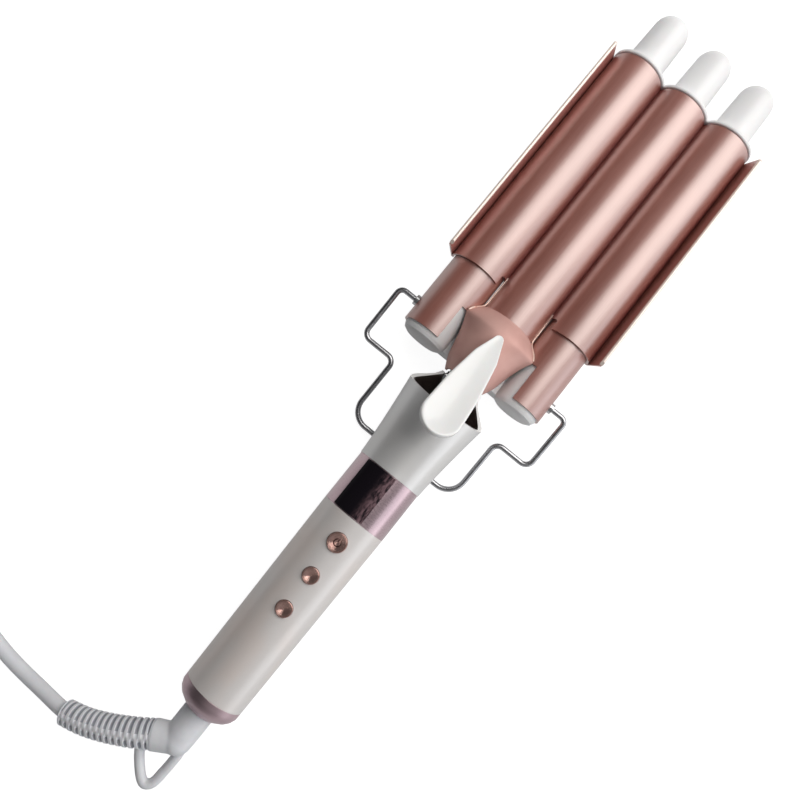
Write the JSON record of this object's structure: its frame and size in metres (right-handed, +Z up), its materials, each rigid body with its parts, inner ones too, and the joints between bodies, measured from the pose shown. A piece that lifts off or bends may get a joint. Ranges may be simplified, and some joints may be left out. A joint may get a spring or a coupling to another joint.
{
  "type": "hair waver",
  "caption": "Corded hair waver: side-by-side heated barrels under a humped clamp plate with a thumb lever, temperature buttons and display, fold-down wire stand and swivel cord.",
  "frame": {"origin": "on the surface that the waver lies on, under the middle of the box of the object without its cord, coil and plug", "axes": "+Y along the barrels towards their tips, +Z up with the thumb lever on top, +X to the right when looking along +Y"},
  "size_m": [0.2313, 0.5333, 0.057],
  "materials": {
    "pearl_white": "pearl gloss",
    "gloss_white": "gloss",
    "heat_proof_white": "satin gloss",
    "rose_mirror": "plated mirror",
    "black_lens": "high gloss",
    "dark_plastic": "matt",
    "circuit_board": "satin",
    "bright_steel": "brushed",
    "rose_gold": "satin anodised",
    "matt_rose": "matt",
    "heater_shoe": "as drawn",
    "stand_chrome": "polished",
    "button_rose": "spun satin",
    "cord_white": "satin",
    "tie_black": "matt",
    "pin_brass": "polished"
  },
  "bodies": {
    "handle": {"grip_upper_shell": "pearl_white", "grip_lower_shell": "pearl_white", "front_collar": "gloss_white", "display_band": "rose_mirror", "display_window": "black_lens", "display_module": "dark_plastic", "control_board": "circuit_board", "tact_switches": "dark_plastic", "case_screws": "bright_steel", "end_cap": "rose_mirror", "swivel_socket": "dark_plastic", "jaw_carrier": "heat_proof_white", "barrel_left": "rose_gold", "barrel_centre": "rose_gold", "barrel_right": "rose_gold", "heater_left": "heater_shoe", "heater_centre": "heater_shoe", "heater_right": "heater_shoe", "tip_comb": "heat_proof_white", "hinge_pin": "bright_steel", "pin_clip": "bright_steel", "stand_eyelets": "bright_steel"},
    "clamp": {"clamp_plate": "rose_gold", "hinge_cover": "matt_rose", "clamp_bracket": "bright_steel", "plate_rivet": "bright_steel", "thumb_lever": "gloss_white", "lever_screws": "bright_steel", "clamp_spring": "bright_steel"},
    "stand": {"wire_stand": "stand_chrome"},
    "power_button": {"power_button": "button_rose"},
    "plus_button": {"plus_button": "button_rose"},
    "minus_button": {"minus_button": "button_rose"},
    "swivel": {"swivel_stem": "cord_white", "strain_relief": "cord_white", "power_cord": "cord_white", "cord_coil": "cord_white", "cord_tail": "cord_white", "cord_tie": "tie_black", "plug_body": "cord_white", "plug_pins": "pin_brass"}
  },
  "joints": [
    {"name": "clamp_hinge", "type": "hinge", "parent": "handle", "child": "clamp", "pos_m": [0, 0.00525, 0.0205], "axis": [1, 0, 0], "range_deg": [0, 22], "stiffness_Nm_per_rad": 0.4, "springref_deg": -34.38},
    {"name": "stand_pivot", "type": "hinge", "parent": "handle", "child": "stand", "pos_m": [0, 0.02575, 0.0125], "axis": [1, 0, 0], "range_deg": [0, 105]},
    {"name": "power_button_press", "type": "slide", "parent": "handle", "child": "power_button", "axis": [0, 0, -1], "range_m": [0, 0.0006], "stiffness_N_per_m": 1200, "springref_m": -0.0004},
    {"name": "plus_button_press", "type": "slide", "parent": "handle", "child": "plus_button", "axis": [0, 0, -1], "range_m": [0, 0.0006], "stiffness_N_per_m": 1200, "springref_m": -0.0004},
    {"name": "minus_button_press", "type": "slide", "parent": "handle", "child": "minus_button", "axis": [0, 0, -1], "range_m": [0, 0.0006], "stiffness_N_per_m": 1200, "springref_m": -0.0004},
    {"name": "cord_swivel", "type": "hinge", "parent": "handle", "child": "swivel", "pos_m": [0, -0.17475, 0.0205], "axis": [0, 1, 0], "continuous": true}
  ]
}
